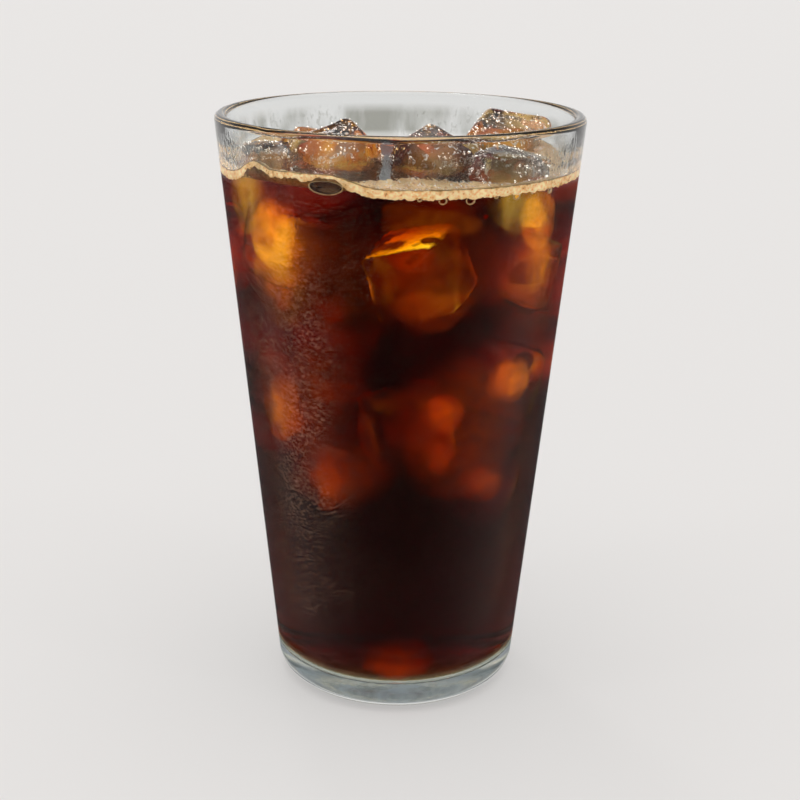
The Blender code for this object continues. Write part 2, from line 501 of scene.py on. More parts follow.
# Ice: the cubes that stand out of the drink take their form from the solids, the sunk ones from sizes here
sunkIce = {
    "ior": 1.31,
    "rounding": 3.0 * mm,
    "melt": 1.3 * mm,
    "gap": 0.04 * mm,  # between a sunk cube and its room in the coffee
    "squash": 3 * mm,  # how far from the wall the hearts start to flatten
    # how far the coffee has stained the cubes that stand out of it, 1 where none is given
    "stains": {"ice_4": 0.8, "ice_5": 0.35},
    # side, middle (x, y, z), turn in degrees, painted glow at its edges and on its top; all lengths in mm
    "cubes": (
        (17, (-23, -18, 115), (10, 12, 35), 0.05, 0),
        (18.5, (4, -22.8, 110.6), (14, -14, -22), 0.80, 1.1),
        (17, (25, -14, 109), (-15, 20, 35), 0.10, 0),
        (17, (22, 9, 106), (30, 15, 5), 0.10, 0.3),
        (17, (-22, 4, 108), (40, 10, 25), 0.10, 0.3),
        (18, (0, 24, 112), (14, 22, 70), 0.30, 0.8),
        (16, (-23, 22, 108), (20, 30, 10), 0.15, 0.5),
        (17, (1, 2, 107), (20, 35, 50), 0.10, 0.3),
        (16, (21, 25, 100), (15, 40, 30), 0.20, 0.4),
        (16, (-12, -14, 95), (35, 25, 10), 0.03, 0),
        (17, (21.5, -12, 83), (15, 20, 40), 0.06, 0),
        (17, (-21, -8, 78), (20, 15, 30), 0.06, 0),
        (17, (-17, 17, 86), (35, 30, 20), 0.15, 0.3),
        (17, (6, 24, 84), (25, 20, 15), 0.25, 0.5),
        (17, (24, 8, 84), (45, 10, 35), 0.15, 0.2),
        (18, (2, -15.5, 72), (12, -10, 14), 0.30, 0.05),
        (16, (-12.5, -13, 57), (30, 20, 60), 0.04, 0),
        (16, (16.5, -10, 55), (20, 30, 15), 0.04, 0),
        (16, (-14, 12, 62), (35, 40, 20), 0.15, 0.1),
        (16, (8, 16, 62), (15, 25, 45), 0.20, 0.2),
    ),
    # painted glows for light in the cubes' middles: middle, half sizes, brightness, millimetres of coffee
    # on the light's way in
    "hearts": (
        ((-25.2, -19.5, 118.5), (5.4, 4.2, 6.4), 1.75, 4.6),
        ((-24.5, -17.5, 108.5), (5, 4.2, 6), 0.80, 6),
        ((7, -25, 103.5), (6.2, 4.6, 4.6), 0.50, 7.5),
        ((6, -30.5, 124.2), (8, 4.2, 3.8), 0.30, 7.5),
        ((28.2, -17, 121.5), (3.8, 3.4, 5.2), 1.45, 4.2),
        ((29, -14.4, 111.5), (3, 3.6, 5.6), 0.80, 6),
        ((23.6, -16.4, 83.5), (4.2, 4.2, 4.4), 1.15, 6.6),
        ((-24, -14, 75), (4.4, 4.4, 6.4), 0.80, 5.6),
        ((9.6, -22.5, 77.5), (3.8, 3.5, 3.8), 1.15, 8),
        ((9.2, -21, 66), (2.8, 3, 3.4), 0.70, 9.5),
        ((-14.2, -18.5, 58.3), (3.8, 4, 5.4), 0.70, 9),
        ((18.2, -15.5, 57.8), (4.2, 4, 4), 0.52, 9),
        ((-13.9, -20.5, 101.5), (3, 3, 3), 0.50, 12),
        ((-12, -20, 82.5), (5, 3.5, 3), 0.35, 11),
        ((17.6, -27.5, 124.4), (0.5, 0.5, 0.5), 1.20, 18),
        ((0, -20.6, 9.6), (6, 4.8, 2.8), 0.62, 14),
        ((-14.5, -3, 124.5), (7, 6.5, 5), 0.85, 1.8),
        ((7.5, -6.5, 124.5), (7, 6.5, 5), 0.45, 1.8),
        ((25, 9, 125.5), (7, 7, 5), 0.80, 1.4),
        ((24, -22, 126), (5.5, 5.5, 5), 0.40, 1.8),
        ((-31, -12, 125.5), (4, 6, 6.5), 0.60, 2.2),
        ((-21.5, 20.5, 121), (6.5, 6, 5), 0.75, 2.5),
        ((22, 20, 112), (4, 4, 5), 1.00, 4.5),
        ((-24, 22, 108), (4, 4, 5), 1.00, 5),
        ((-31, 6, 104), (3.5, 5, 5), 0.80, 6),
        ((30, 8, 100), (3.5, 4, 6), 0.80, 6),
        ((0, 29, 106), (5, 3.5, 4.5), 0.80, 6),
        ((-20, 20, 86), (4, 4, 4.5), 0.80, 7),
        ((9, 27, 82), (4, 3.5, 4.5), 0.80, 7),
        ((27, 8, 82), (3.5, 4, 4.5), 0.75, 7),
        ((-18, 14, 62), (4, 4, 4.5), 0.90, 9),
        ((11, 20, 60), (4, 3.5, 4), 0.90, 9),
    ),
    # wide faint painted glow round them, given in the same way
    "hazes": (
        ((-22, -17, 112), (9.5, 8, 14), 0.24, 5),
        ((-9, -23, 110), (10, 7, 13), 0.12, 10),
        ((8, -22, 111), (12, 6, 12), 0.16, 9),
        ((25, -12, 108), (8, 8, 15), 0.13, 7),
        ((-17, -15, 82), (11, 8, 13), 0.25, 9),
        ((12, -18, 74), (12, 8, 15), 0.26, 10),
        ((-12, -17, 62), (10, 8, 9), 0.22, 10),
        ((0, 22, 108), (18, 10, 14), 0.25, 9),
        ((-22, 10, 96), (9, 14, 14), 0.22, 9),
        ((24, 10, 92), (8, 13, 14), 0.22, 9),
        ((0, 20, 74), (16, 9, 12), 0.22, 10),
        ((0, -19, 12.5), (6.5, 5, 4.5), 0.34, 15),
        # and painted glow for light caught in the cubes over the drink
        ((-14.8, -0.8, 131.5), (6.5, 6, 4.5), 0.42, 3.8),
        ((7.6, -5.5, 131), (6.5, 6.5, 4), 0.26, 4),
        ((25.8, 11, 133), (6.5, 6.5, 5), 0.26, 3),
        ((24, -23, 131), (5.5, 5.5, 4), 0.20, 3.4),
        ((-31, -12.3, 129.5), (4, 5.5, 4.5), 0.34, 3.8),
        ((-22.2, 21.6, 130), (6, 6, 4), 0.36, 3.6),
    ),
}


def meltedCube(name, side, middle, turn, seed):
    half = Vector((side, side, side)) * mm / 2
    core = half - Vector((sunkIce["rounding"],) * 3)
    turned = Euler([radians(a) for a in turn]).to_matrix()
    shift = Vector((3.1, 7.7, 1.3)) * seed
    bm = bmesh.new()
    bmesh.ops.create_cube(bm, size=2.0)
    bmesh.ops.subdivide_edges(bm, edges=bm.edges, cuts=7, use_grid_fill=True)
    for vert in bm.verts:
        point = Vector([vert.co[i] * half[i] for i in range(3)])
        inner = Vector([max(-core[i], min(core[i], point[i])) for i in range(3)])
        outward = (point - inner).normalized()
        melt = sunkIce["melt"] * (noise.noise(vert.co * 0.9 + shift) - 0.25)
        placed = turned @ (inner + outward * (sunkIce["rounding"] + melt)) + Vector(middle) * mm
        limit = innerRadius(placed.z) - 0.8 * mm
        if placed.xy.length > limit:
            placed.xy *= limit / placed.xy.length
        vert.co = placed
    return meshOf(bm, name)


def meltTree():
    # refines a cube and wears its faces unevenly; Swell moves the whole skin outwards
    sockets = {"Level": "Int", "Wave": "Float", "Ripple": "Float", "Swell": "Float", "Material": "Material"}
    tree, given = newTree("meltedFaces", sockets)
    links = {"Mesh": given["Geometry"], "Level": given["Level"]}
    fine = geometryOut(tree, "SubdivisionSurface", links)
    place = geometryOut(tree, "InputPosition")
    wave = maths(tree, "SUBTRACT", noiseAt(tree, place, 9, 1.0), 0.5)
    ripple = maths(tree, "SUBTRACT", noiseAt(tree, place, 2.2, 1.0), 0.5)
    push = maths(tree, "MULTIPLY_ADD", wave, given["Wave"], given["Swell"])
    push = maths(tree, "MULTIPLY_ADD", ripple, given["Ripple"], push)
    offset = scaled(tree, geometryOut(tree, "InputNormal"), push)
    moved = geometryOut(tree, "SetPosition", {"Geometry": fine, "Offset": offset})
    return endTree(tree, moved, given["Material"])


def weldedCopy(node, name):
    # the solid's mesh is loose triangles, so a copy of it is welded first
    mesh = node.data.copy()
    mesh.name = name
    with editing(mesh) as bm:
        bm.transform(node.matrix_world)
        bmesh.ops.remove_doubles(bm, verts=bm.verts, dist=1e-6)
        bmesh.ops.join_triangles(bm, faces=bm.faces, angle_face_threshold=0.6, angle_shape_threshold=0.9)
        bmesh.ops.recalc_face_normals(bm, faces=bm.faces)
    return mesh


def makeIceMaterial():
    # Machine ice, wet and melting: glassy, slightly uneven, with milky patches of trapped air
    material, tree = newMaterial("wetIce")
    place = objectPlace(tree)
    # the coffee that wets it stains it amber, unevenly
    uneven = remap(tree, noiseAt(tree, place, 7), 0.35, 0.65, 0.55, 1.0)
    stained = product(tree, attribute(tree, "amber"), uneven)
    ice = shader(
        tree,
        "Principled",
        {
            "Base Color": mixColours(tree, stained, "#FFFFFF", "#D08C38"),
            "Roughness": 0.02,
            "IOR": sunkIce["ior"],
            "Transmission Weight": 1.0,
            "Normal": bump(tree, noiseAt(tree, place, 1.3, 3.0), 0.5, 0.08 * mm),
        },
    )
    milky = remap(tree, noiseAt(tree, place, 8, 3.0), 0.52, 0.75, 0.0, 0.22)
    specks = remap(tree, noiseAt(tree, place, 0.9, 1.0), 0.60, 0.66, 0.0, 0.75)
    strewn = remap(tree, noiseAt(tree, place, 5), 0.42, 0.60)
    pale = maths(tree, "MAXIMUM", milky, product(tree, specks, strewn))
    over = mixShaders(tree, pale, ice, shader(tree, "Diffuse", {"Color": "#F2EEE8"}))
    # under the surface the coffee's own skin shows in its place
    sunk = remap(tree, heightOf(tree, place), drink["level"] + 0.1 * mm, drink["level"])
    return finished(material, mixShaders(tree, sunk, over, clearOf(tree)))


def makeSunkIceMaterial():
    # Ice under the surface hardly bends light against coffee: it shows by a glow painted on its edges and
    # top
    material, tree = newMaterial("sunkIce")
    place = objectPlace(tree)
    # the glow on the edges and the top is painted, by emission
    streaks = remap(tree, noiseAt(tree, place, 5), 0.38, 0.62)
    edge = product(tree, maths(tree, "POWER", slantOf(tree), 4.0), attribute(tree, "paintedEdgeGlow"), streaks)
    lobes = remap(tree, noiseAt(tree, place, 7), 0.44, 0.56)
    top = product(tree, lobes, attribute(tree, "paintedTopGlow"))
    tint = tuple(exp(-s * 0.5) for s in coffeeDims) + (1,)
    edged = mixShaders(tree, edge, clearOf(tree), emission(tree, tint, 1.6))
    return finished(material, mixShaders(tree, top, edged, emission(tree, (0.72, 1.0, 0.8, 1), 3.1)))


def makePaintedGlowMaterial():
    # Painted glow: it stands for the light that air trapped in the middle of a cube scatters, a soft glow
    # without an edge
    material, tree = newMaterial("paintedGlowInIce")
    glow = addNode(tree, "ShaderNodeAttribute", attribute_name="glow").outputs
    soft = maths(tree, "POWER", maths(tree, "SUBTRACT", 1.0, slantOf(tree)), 3.5)
    grains = remap(tree, noiseAt(tree, objectPlace(tree), 2.2, 4.0), 0.3, 0.7, 0.35, 1.0)
    share = product(tree, soft, grains, glow["Alpha"])
    return finished(material, mixShaders(tree, share, clearOf(tree), emission(tree, glow["Color"], 1.0)))


def makePaintedIceGlows():
    bm = bmesh.new()
    layer = bm.verts.layers.float_color.new("glow")
    squash = sunkIce["squash"]
    for number, (middle, half, bright, way) in enumerate(sunkIce["hearts"] + sunkIce["hazes"]):
        # a haze is thin, so it takes a small share of what is seen through it
        share = 0.75 if number < len(sunkIce["hearts"]) else 0.2
        colour = [bright * exp(-s * way) / share for s in coffeeDims] + [share]
        fresh = bmesh.ops.create_icosphere(bm, subdivisions=4, radius=1.0)["verts"]
        shift = Vector((5.3, 2.9, 8.1)) * number
        for vert in fresh:
            vert[layer] = colour
            lump = 1.3 + 0.35 * noise.noise(vert.co * 1.3 + shift)
            placed = Vector([vert.co[i] * half[i] * mm * lump + middle[i] * mm for i in range(3)])
            limit, away = innerRadius(placed.z) - 1.0 * mm, placed.xy.length
            if away > limit - squash:
                placed.xy *= (limit - squash * exp(-(away - limit + squash) / squash)) / away
            vert.co = placed
    mesh = meshOf(bm, "paintedIceGlows")
    mesh.shade_smooth()
    addPiece(newObject("paintedIceGlows", mesh, makePaintedGlowMaterial()), "wet_ice")


def makeIce():
    melt = meltTree()
    above = makeIceMaterial()
    below = makeSunkIceMaterial()
    iceCubes, iceCutters, shells = [], [], []
    for name in sorted(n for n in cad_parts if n.startswith("ice_")):
        mesh = weldedCopy(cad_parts[name], name)
        cutter = newObject(f"{name}Room", mesh.copy())
        obj = newObject(f"{name}Cube", mesh)
        for form, swell in ((obj, -0.05 * mm), (cutter, 0.0)):
            values = {"Level": 2, "Wave": 0.6 * mm, "Ripple": 0.3 * mm, "Swell": swell, "Material": above}
            addNodesModifier(form, melt, values)
        applyAll(obj)
        applyAll(cutter)
        stain = sunkIce["stains"].get(name, 1.0)
        addValues(obj.data, "amber", [stain] * len(obj.data.polygons))
        addPiece(obj, "wet_ice", name)
        iceCubes.append(obj)
        iceCutters.append(cutter)
    bm = bmesh.new()
    paintedEdgeGlow, paintedTopGlow = [], []
    for number, (side, middle, turn, edge, top) in enumerate(sunkIce["cubes"]):
        mesh = meltedCube(f"sunk{number}", side, middle, turn, number + 1)
        obj = newObject(f"sunkTemp{number}", mesh)
        values = {"Level": 1, "Wave": 0.5 * mm, "Ripple": 0.12 * mm, "Swell": 0.0, "Material": below}
        addNodesModifier(obj, melt, values)
        applyAll(obj)
        bm.from_mesh(obj.data)
        shells.append(obj.data)
        # a glow is painted where light would fall on what looks upwards: on the edges from the sides up, on
        # the top in its middle
        paintedEdgeGlow += [edge * max(0.0, min(1.0, (v.normal.z + 0.70) / 0.35)) for v in obj.data.vertices]
        paintedTopGlow += [top * max(0.0, min(1.0, (v.normal.z - 0.80) / 0.10)) for v in obj.data.vertices]
        bpy.data.objects.remove(obj)
    for vert in bm.verts:
        vert.co -= vert.normal * sunkIce["gap"]
    whole = meshOf(bm, "sunkIceCubes")
    whole.shade_smooth()
    addValues(whole, "paintedEdgeGlow", paintedEdgeGlow, "POINT")
    addValues(whole, "paintedTopGlow", paintedTopGlow, "POINT")
    addPiece(newObject("sunkIceCubes", whole, below), "wet_ice")
    makePaintedIceGlows()
    print("ice made")
    return iceCubes, iceCutters, shells


# Air bubbles under the foam, flat against the wall: direction in degrees, and in mm their height,
# half width, half height and depth. The first is the large one at the front left
airBubbles = [
    (direction, *(size * mm for size in sizes))
    for direction, *sizes in (
        (246.9, 131.9, 3.9, 1.7, 2.4),
        (283.2, 129.5, 0.80, 0.75, 0.8),
        (292.1, 129.4, 0.95, 0.90, 0.9),
        (308.8, 129.5, 0.90, 0.85, 0.9),
        (324.5, 129.4, 0.70, 0.70, 0.7),
        (276.0, 129.9, 0.40, 0.40, 0.4),
        (301.0, 129.8, 0.45, 0.45, 0.4),
        (315.5, 129.9, 0.45, 0.45, 0.4),
        (20.0, 128.7, 1.0, 0.9, 1.0),
        (58.0, 128.6, 2.2, 1.4, 1.6),
        (97.0, 128.6, 0.9, 0.9, 0.9),
        (131.0, 128.7, 1.1, 1.0, 1.0),
        (166.0, 128.4, 0.8, 0.8, 0.8),
    )
]


def ontoWall(bubble, x, y, z, flat, sunk):
    # a point of a round ball, where the bubble lies; the foam presses its top flat
    direction, height, half, tall, deep = bubble
    a = radians(direction)
    outward, along = Vector((cos(a), sin(a), 0)), Vector((-sin(a), cos(a), 0))
    up = height + z * tall * (1.0 if z < 0 else flat)
    at = outward * (innerRadius(up) - sunk * deep + x * deep) + along * y * half
    return Vector((at.x, at.y, up))


def makeAirBubbles():
    made = []
    for number, bubble in enumerate(airBubbles):
        bm = bmesh.new()
        bmesh.ops.create_icosphere(bm, subdivisions=4 if bubble[2] > 1.5 * mm else 3, radius=1.0)
        for vert in bm.verts:
            vert.co = ontoWall(bubble, *vert.co, 0.75, 0.25)
        mesh = meshOf(bm, f"airBubble{number}")
        made.append(newObject(mesh.name, mesh))
    return made


def makeBubbleFilm():
    # the large bubble's skin inside the glass, brown with the coffee that runs down it
    bm = bmesh.new()
    bmesh.ops.create_icosphere(bm, subdivisions=5, radius=0.97)
    for vert in bm.verts:
        x, y, z = vert.co
        vert.co = ontoWall(airBubbles[0], x + 0.03 * noise.noise(vert.co * 2.5), y, z, 0.8, 0.3)
        limit = innerRadius(vert.co.z) - 0.02 * mm
        if vert.co.xy.length > limit:
            vert.co.xy *= limit / vert.co.xy.length
    mesh = meshOf(bm, "wallBubble")
    mesh.shade_smooth()
    material = makeBubbleMaterial("wallBubbleSkin", "#8A6246", "#5A3A20", 0.1, 0.06)
    addPiece(newObject("wallBubble", mesh, material), "coffee_foam")


def makeBubbleRings():
    # a bubble shows by the bright ring where its skin meets the glass; the ring's brightness is partly its
    # own colour, partly a painted glow
    thickness, around, across = 0.20 * mm, 56, 8
    verts, faces = [], []
    for direction, height, half, tall, _ in airBubbles:
        start = len(verts)
        for i in range(around):
            t = tau * i / around
            uneven = noise.noise(Vector((3 * cos(t), 3 * sin(t), direction)))
            thick = thickness * (0.75 + 0.45 * uneven)
            for k in range(across):
                u = tau * k / across
                share = 1 + thick * cos(u) / half
                up = tall * (1.0 if sin(t) < 0 else 0.75) * sin(t) * share
                turn = radians(direction) + half * cos(t) * share / innerRadius(height)
                r = innerRadius(height + up) - 0.12 * mm + thick * sin(u)
                verts.append((r * cos(turn), r * sin(turn), height + up))
                corners = ((i, k), (i + 1, k), (i + 1, k + 1), (i, k + 1))
                faces.append([start + (p % around) * across + q % across for p, q in corners])
    material, tree = newMaterial("bubbleRing")
    links = {
        "Base Color": mixColours(tree, noiseAt(tree, objectPlace(tree), 1.0), "#5A3316", "#F0D2A0"),
        "Roughness": 0.3,
        # a faint painted glow on the ring
        "Emission Color": "#E8BE86",
        "Emission Strength": 0.30,
    }
    finished(material, shader(tree, "Principled", links))
    addPiece(newObject("bubbleRings", meshFrom("bubbleRings", verts, faces), material), "coffee_foam")


def bell(angle, direction, spread, power=2):
    # 1 in the given direction and nearly 0 beyond its spread, both in degrees
    off = remainder(angle - radians(direction), tau)
    return exp(-((off / radians(spread)) ** power))


def climb(angle):
    return sum(height * bell(angle, direction, spread) for direction, spread, height in drink["climbs"])


def meniscus(angle):
    # how wide and how high the drink's surface climbs at the wall
    return drink["meniscusWidth"] + climb(angle) * 0.6, drink["meniscusClimb"] + climb(angle)


def drinkTop(angle, radius):
    # height of the drink's surface, which climbs towards the wall
    width, rise = meniscus(angle)
    share = 1 - (innerRadius(drink["level"]) - radius) / width
    return drink["level"] + rise * max(0.0, min(1.0, share)) ** drink["meniscusPower"]


def coffeeSection(angle):
    level, into = drink["level"], drink["intoWall"]
    edge = innerRadius(level)
    width, rise = meniscus(angle)
    steps, climbSteps = drink["steps"], drink["meniscusSteps"]
    section = [((edge - width) * k / steps, level) for k in range(steps + 1)]
    for s in (k / climbSteps for k in range(1, climbSteps + 1)):
        section.append((edge - width * (1 - s), level + rise * s ** drink["meniscusPower"]))
    brim = level + rise
    heights = (brim, brim - 1 * mm, *(row * mm for row in drink["rows"]))
    section += [(innerRadius(z) + into, z) for z in heights]
    return section + cavityProfile(into)


def makeCoffeeMaterial():
    # Black coffee: clear but strongly coloured. Thin layers pass yellow and amber, thick ones only deep red
    material, tree = newMaterial("blackCoffee")
    common = {"Base Color": white, "Roughness": 0.0, "Transmission Weight": 1.0}
    free = shader(tree, "Principled", {**common, "IOR": drink["ior"]})
    wall = shader(tree, "Principled", {**common, "IOR": drink["ior"], "Specular Tint": noMirror})
    againstIce = shader(tree, "Principled", {**common, "IOR": drink["iorOverIce"]})
    skin = mixShaders(tree, attribute(tree, "covered"), free, wall)
    # density per metre, and the share of it that each colour is spared
    density = max(coffeeDims) * 1000 / 0.98
    spared = tuple(1 - s * 1000 / density for s in coffeeDims) + (1,)
    absorb = nodeOut(tree, "ShaderNodeVolumeAbsorption", {"Color": spared, "Density": density})
    return finished(material, mixShaders(tree, attribute(tree, "hollow"), skin, againstIce), Volume=absorb)


def makeCoffee(iceCutters, shells):
    n = drink["segments"]
    mesh = turnedMesh("coffeeBody", [coffeeSection(tau * i / n) for i in range(n)], False)
    coffee = makeCoffeeMaterial()
    # the slots tell apart what was cut: 0 the drink's own skin, 1 at ice, 2 at air
    markers = [bpy.data.materials.new(name) for name in ("iceMarker", "airMarker")]
    obj = newObject("coffeeBody", mesh)
    rooms = bpy.data.collections.new("iceRooms")
    scene.collection.children.link(rooms)
    airCutters = makeAirBubbles()
    cutters = [(1, cutter) for cutter in iceCutters] + [(2, cutter) for cutter in airCutters]
    for kind, cutter in cutters:
        cutter.data.materials.clear()
        cutter.data.polygons.foreach_set("material_index", [kind] * len(cutter.data.polygons))
        rooms.objects.link(cutter)
        scene.collection.objects.unlink(cutter)
    for each in (mesh, *(cutter.data for kind, cutter in cutters)):
        for material in (coffee, *markers):
            each.materials.append(material)
    cut = obj.modifiers.new("rooms", "BOOLEAN")
    cut.operation = "DIFFERENCE"
    cut.solver = "EXACT"
    cut.operand_type = "COLLECTION"
    cut.collection = rooms
    applyAll(obj)
    for kind, cutter in cutters:
        bpy.data.objects.remove(cutter)
    bpy.data.collections.remove(rooms)
    # the sunk cubes' rooms are closed shells inside, turned inwards
    with editing(obj.data) as bm:
        for shell in shells:
            before = len(bm.faces)
            bm.from_mesh(shell)
            bm.faces.ensure_lookup_table()
            fresh = bm.faces[before:]
            bmesh.ops.reverse_faces(bm, faces=fresh)
            for face in fresh:
                face.material_index = 1
        # the skin is smooth within each kind of face and sharp where two kinds meet
        for edge in bm.edges:
            edge.smooth = len({face.material_index for face in edge.link_faces}) < 2
    # against the glass and round the air bubbles the drink mirrors nothing
    covered = [
        p.material_index == 2
        or p.material_index == 0
        and (p.center.z < drink["level"] - 0.2 * mm or pastInner(p.center) > -0.02 * mm)
        for p in obj.data.polygons
    ]
    addValues(obj.data, "hollow", [float(p.material_index == 1) for p in obj.data.polygons])
    addValues(obj.data, "covered", [float(value) for value in covered])
    obj.data.polygons.foreach_set("material_index", [0] * len(obj.data.polygons))
    obj.data.materials.clear()
    obj.data.materials.append(coffee)
    for marker in markers:
        bpy.data.materials.remove(marker)
    obj.data.polygons.foreach_set("use_smooth", [True] * len(obj.data.polygons))
    addPiece(obj, "black_coffee", "coffee")
    print("coffee made", len(obj.data.polygons), "faces")


# Foam: coffee oils whipped with air, in a ring against the wall and a patch at the front
foam = {
    "depth": 1.9 * mm,
    "rise": 0.5 * mm,
    "width": 4.5 * mm,
    "patchWidth": 12 * mm,
    "scallop": 1.3 * mm,
    "segments": 960,
    # direction, spread and lift in mm: it is thinner where it climbs, and over the large flat bubble
    "lifts": ((airBubbles[0][0], 5.5, 1.3), (220, 6, 0.8), (233, 6, 0.8), (205, 5, -0.2)),
    "tones": ((0.20, "#8A5626"), (0.40, "#D6A466"), (0.66, "#F6D6A4")),
    # strength of the glow painted on the foam where it lies against the glass
    "paintedSideGlow": 0.72,
}


def lumps(angle, around, seed):
    return noise.noise(Vector((cos(angle) * around, sin(angle) * around, seed)))


def foamWidth(angle):
    front = exp(-((remainder(angle + tau * 0.245, tau) / 0.36) ** 2))
    scallop = sin(5 * angle + 0.8) + 0.6 * sin(9 * angle)
    ragged = lumps(angle, 9, 1.7) + 0.5 * lumps(angle, 27, 4.1)
    return foam["width"] + foam["patchWidth"] * front + foam["scallop"] * scallop + 1.1 * mm * ragged


def makeFoamMaterial():
    # Coffee foam: pale tan, full of fine bubbles that scatter light; a faint glow is painted on it all,
    # stronger where it lies against the glass
    material, tree = newMaterial("coffeeFoam")
    place = objectPlace(tree)
    links = {"Vector": place, "Scale": 1 / (0.75 * mm), "Randomness": 1.0}
    cells = addNode(tree, "ShaderNodeTexVoronoi", links).outputs["Distance"]
    tone = maths(tree, "MULTIPLY_ADD", noiseAt(tree, place, 4.0, 3.0), 0.45, -0.28)
    tone = maths(tree, "MULTIPLY_ADD", noiseAt(tree, place, 0.9), 0.75, tone)
    tone = maths(tree, "MULTIPLY_ADD", remap(tree, cells, 0.05, 0.40), 0.22, tone)
    colour = ramp(tree, tone, [(position, hexColour(code)) for position, code in foam["tones"]])
    links = {
        "Base Color": colour,
        "Roughness": 0.45,
        "Subsurface Weight": 0.3,
        "Subsurface Radius": (1.0, 0.6, 0.3),
        "Subsurface Scale": 0.8 * mm,
        "Normal": bump(tree, tone, 0.7, 0.25 * mm),
        # painted glow in the foam's own colour, strongest on the side against the glass
        "Emission Color": colour,
        "Emission Strength": remap(tree, attribute(tree, "side"), 0.0, 1.0, 0.03, foam["paintedSideGlow"]),
    }
    return finished(material, shader(tree, "Principled", links))


def foamSection(angle):
    c, s = cos(angle), sin(angle)
    brim = drink["level"] + climb(angle)
    lift = sum(by * mm * bell(angle, direction, spread, 4) for direction, spread, by in foam["lifts"])
    drip = 0.45 * lumps(angle, 24, 2.2) + 0.35 * lumps(angle, 62, 7.2)
    top = brim + foam["rise"] + 0.2 * mm * lumps(angle, 30, 9.3)
    low = brim + foam["rise"] - foam["depth"] + drip * mm + lift
    width, wall = foamWidth(angle), innerRadius(brim)
    reach = drink["intoWall"] + 0.05 * mm
    heights = (low, *(low + (top - low) * f for f in (0.33, 0.66)), top)
    section = [(innerRadius(z) + reach, z) for z in heights]
    for f in (0.1, 0.2, 0.35, 0.5, 0.65, 0.8, 0.92):
        r = wall - width * f
        thick = 0.4 * mm * (1 - f) + 0.25 * mm
        bumpy = 0.15 * mm * noise.noise(Vector((r * c, r * s, 0)) * 700)
        section.append((r, drinkTop(angle, r) + foam["rise"] * (1 - f) ** 1.5 * 0.5 + thick * 0.5 + bumpy))
    section.append((wall - width, drink["level"] + 0.05 * mm))
    section.append((wall - width, drink["level"] - 0.3 * mm))
    # the underside hangs deeper where the surface is level
    flat = 1 - min(1.0, climb(angle) / (1.2 * mm))
    for f in (0.8, 0.6, 0.4, 0.25, 0.12):
        r = wall - width * f
        section.append((r, drinkTop(angle, r) - 0.3 * mm - 0.6 * mm * (1 - f) * flat))
    return section


def makeFoam():
    n = foam["segments"]
    mesh = turnedMesh("foamRing", [foamSection(tau * i / n) for i in range(n)], True)
    # the foam's faces against the glass, where its painted glow is strongest
    markFaces(mesh, "side", lambda c, n: pastInner(c) > -0.1 * mm)
    obj = newObject("foamRing", mesh, makeFoamMaterial())
    addPiece(obj, "coffee_foam", "foam_ring")
    print("foam made")
    return obj


# Bubbles: thin skins of coffee on the foam, on the ice and along the wall
bubbles = {
    "seed": 11,
    # how many to the square metre, least and greatest size across, share of it that is sunk
    "onIce": (330000, 0.22 * mm, 0.70 * mm, 0.1),
    "onFoam": (900000, 0.25 * mm, 0.85 * mm, -0.05),
    # painted gleams for the lamps: direction, and where each starts and is full
    "paintedGleams": (((-0.25, -0.45, 0.86), 0.90, 0.95), ((0.45, -0.80, 0.40), 0.955, 0.98)),
}


def makeBubbleMaterial(name, middle, rim, gloss=1.0, milk=0.0):
    # A bubble's skin: see-through in the middle, brown at its edge, with a sharp painted gleam
    material, tree = newMaterial(name)
    tone = mixColours(tree, maths(tree, "POWER", slantOf(tree), 3.0), middle, rim)
    mirror = product(tree, nodeOut(tree, "ShaderNodeFresnel", {"IOR": 1.5}), gloss)
    shine = shader(tree, "Glossy", {"Color": white, "Roughness": 0.03})
    skin = mixShaders(tree, mirror, shader(tree, "Transparent", {"Color": tone}), shine)
    filmy = mixShaders(tree, milk, skin, shader(tree, "Diffuse", {"Color": "#A8744A"}))
    normal = normalOf(tree)
    paintedGleams = []
    for towards, low, high in bubbles["paintedGleams"]:
        dot = vectorMaths(tree, "DOT_PRODUCT", normal, Vector(towards).normalized())
        paintedGleams.append(remap(tree, dot, low, high))
    # the gleams are painted: a glow on the side of each bubble that faces a lamp
    light = emission(tree, "#FFFBF4", 3.0 * gloss)
    return finished(material, mixShaders(tree, maths(tree, "MAXIMUM", *paintedGleams), filmy, light))


def scatterTree():
    # strews small balls over the faces that the bubbly attribute marks
    sizes = {name: "Float" for name in ("Density", "Least", "Most", "Sunk")}
    tree, given = newTree("strewBubbles", {**sizes, "Seed": "Int", "Material": "Material"})
    choice = addNode(tree, "GeometryNodeInputNamedAttribute", {"Name": "bubbly"}, data_type="FLOAT")
    amount = product(tree, choice.outputs["Attribute"], given["Density"])
    links = {"Mesh": given["Geometry"], "Density": amount, "Seed": given["Seed"]}
    points = addNode(tree, "GeometryNodeDistributePointsOnFaces", links).outputs
    links = {"Min": 0.0, "Max": 1.0, "Seed": given["Seed"]}
    draw = nodeOut(tree, "FunctionNodeRandomValue", links, data_type="FLOAT")
    # mostly small, few large
    spread = maths(tree, "SUBTRACT", given["Most"], given["Least"])
    size = maths(tree, "MULTIPLY_ADD", maths(tree, "POWER", draw, 2.5), spread, given["Least"])
    down = scaled(tree, points["Normal"], product(tree, size, given["Sunk"]))
    moved = geometryOut(tree, "SetPosition", {"Geometry": points["Points"], "Offset": down})
    ball = addNode(tree, "GeometryNodeMeshIcoSphere", {"Radius": 0.5, "Subdivisions": 2}).outputs["Mesh"]
    links = {"Points": moved, "Instance": ball, "Scale": size}
    return endTree(tree, geometryOut(tree, "InstanceOnPoints", links), given["Material"])


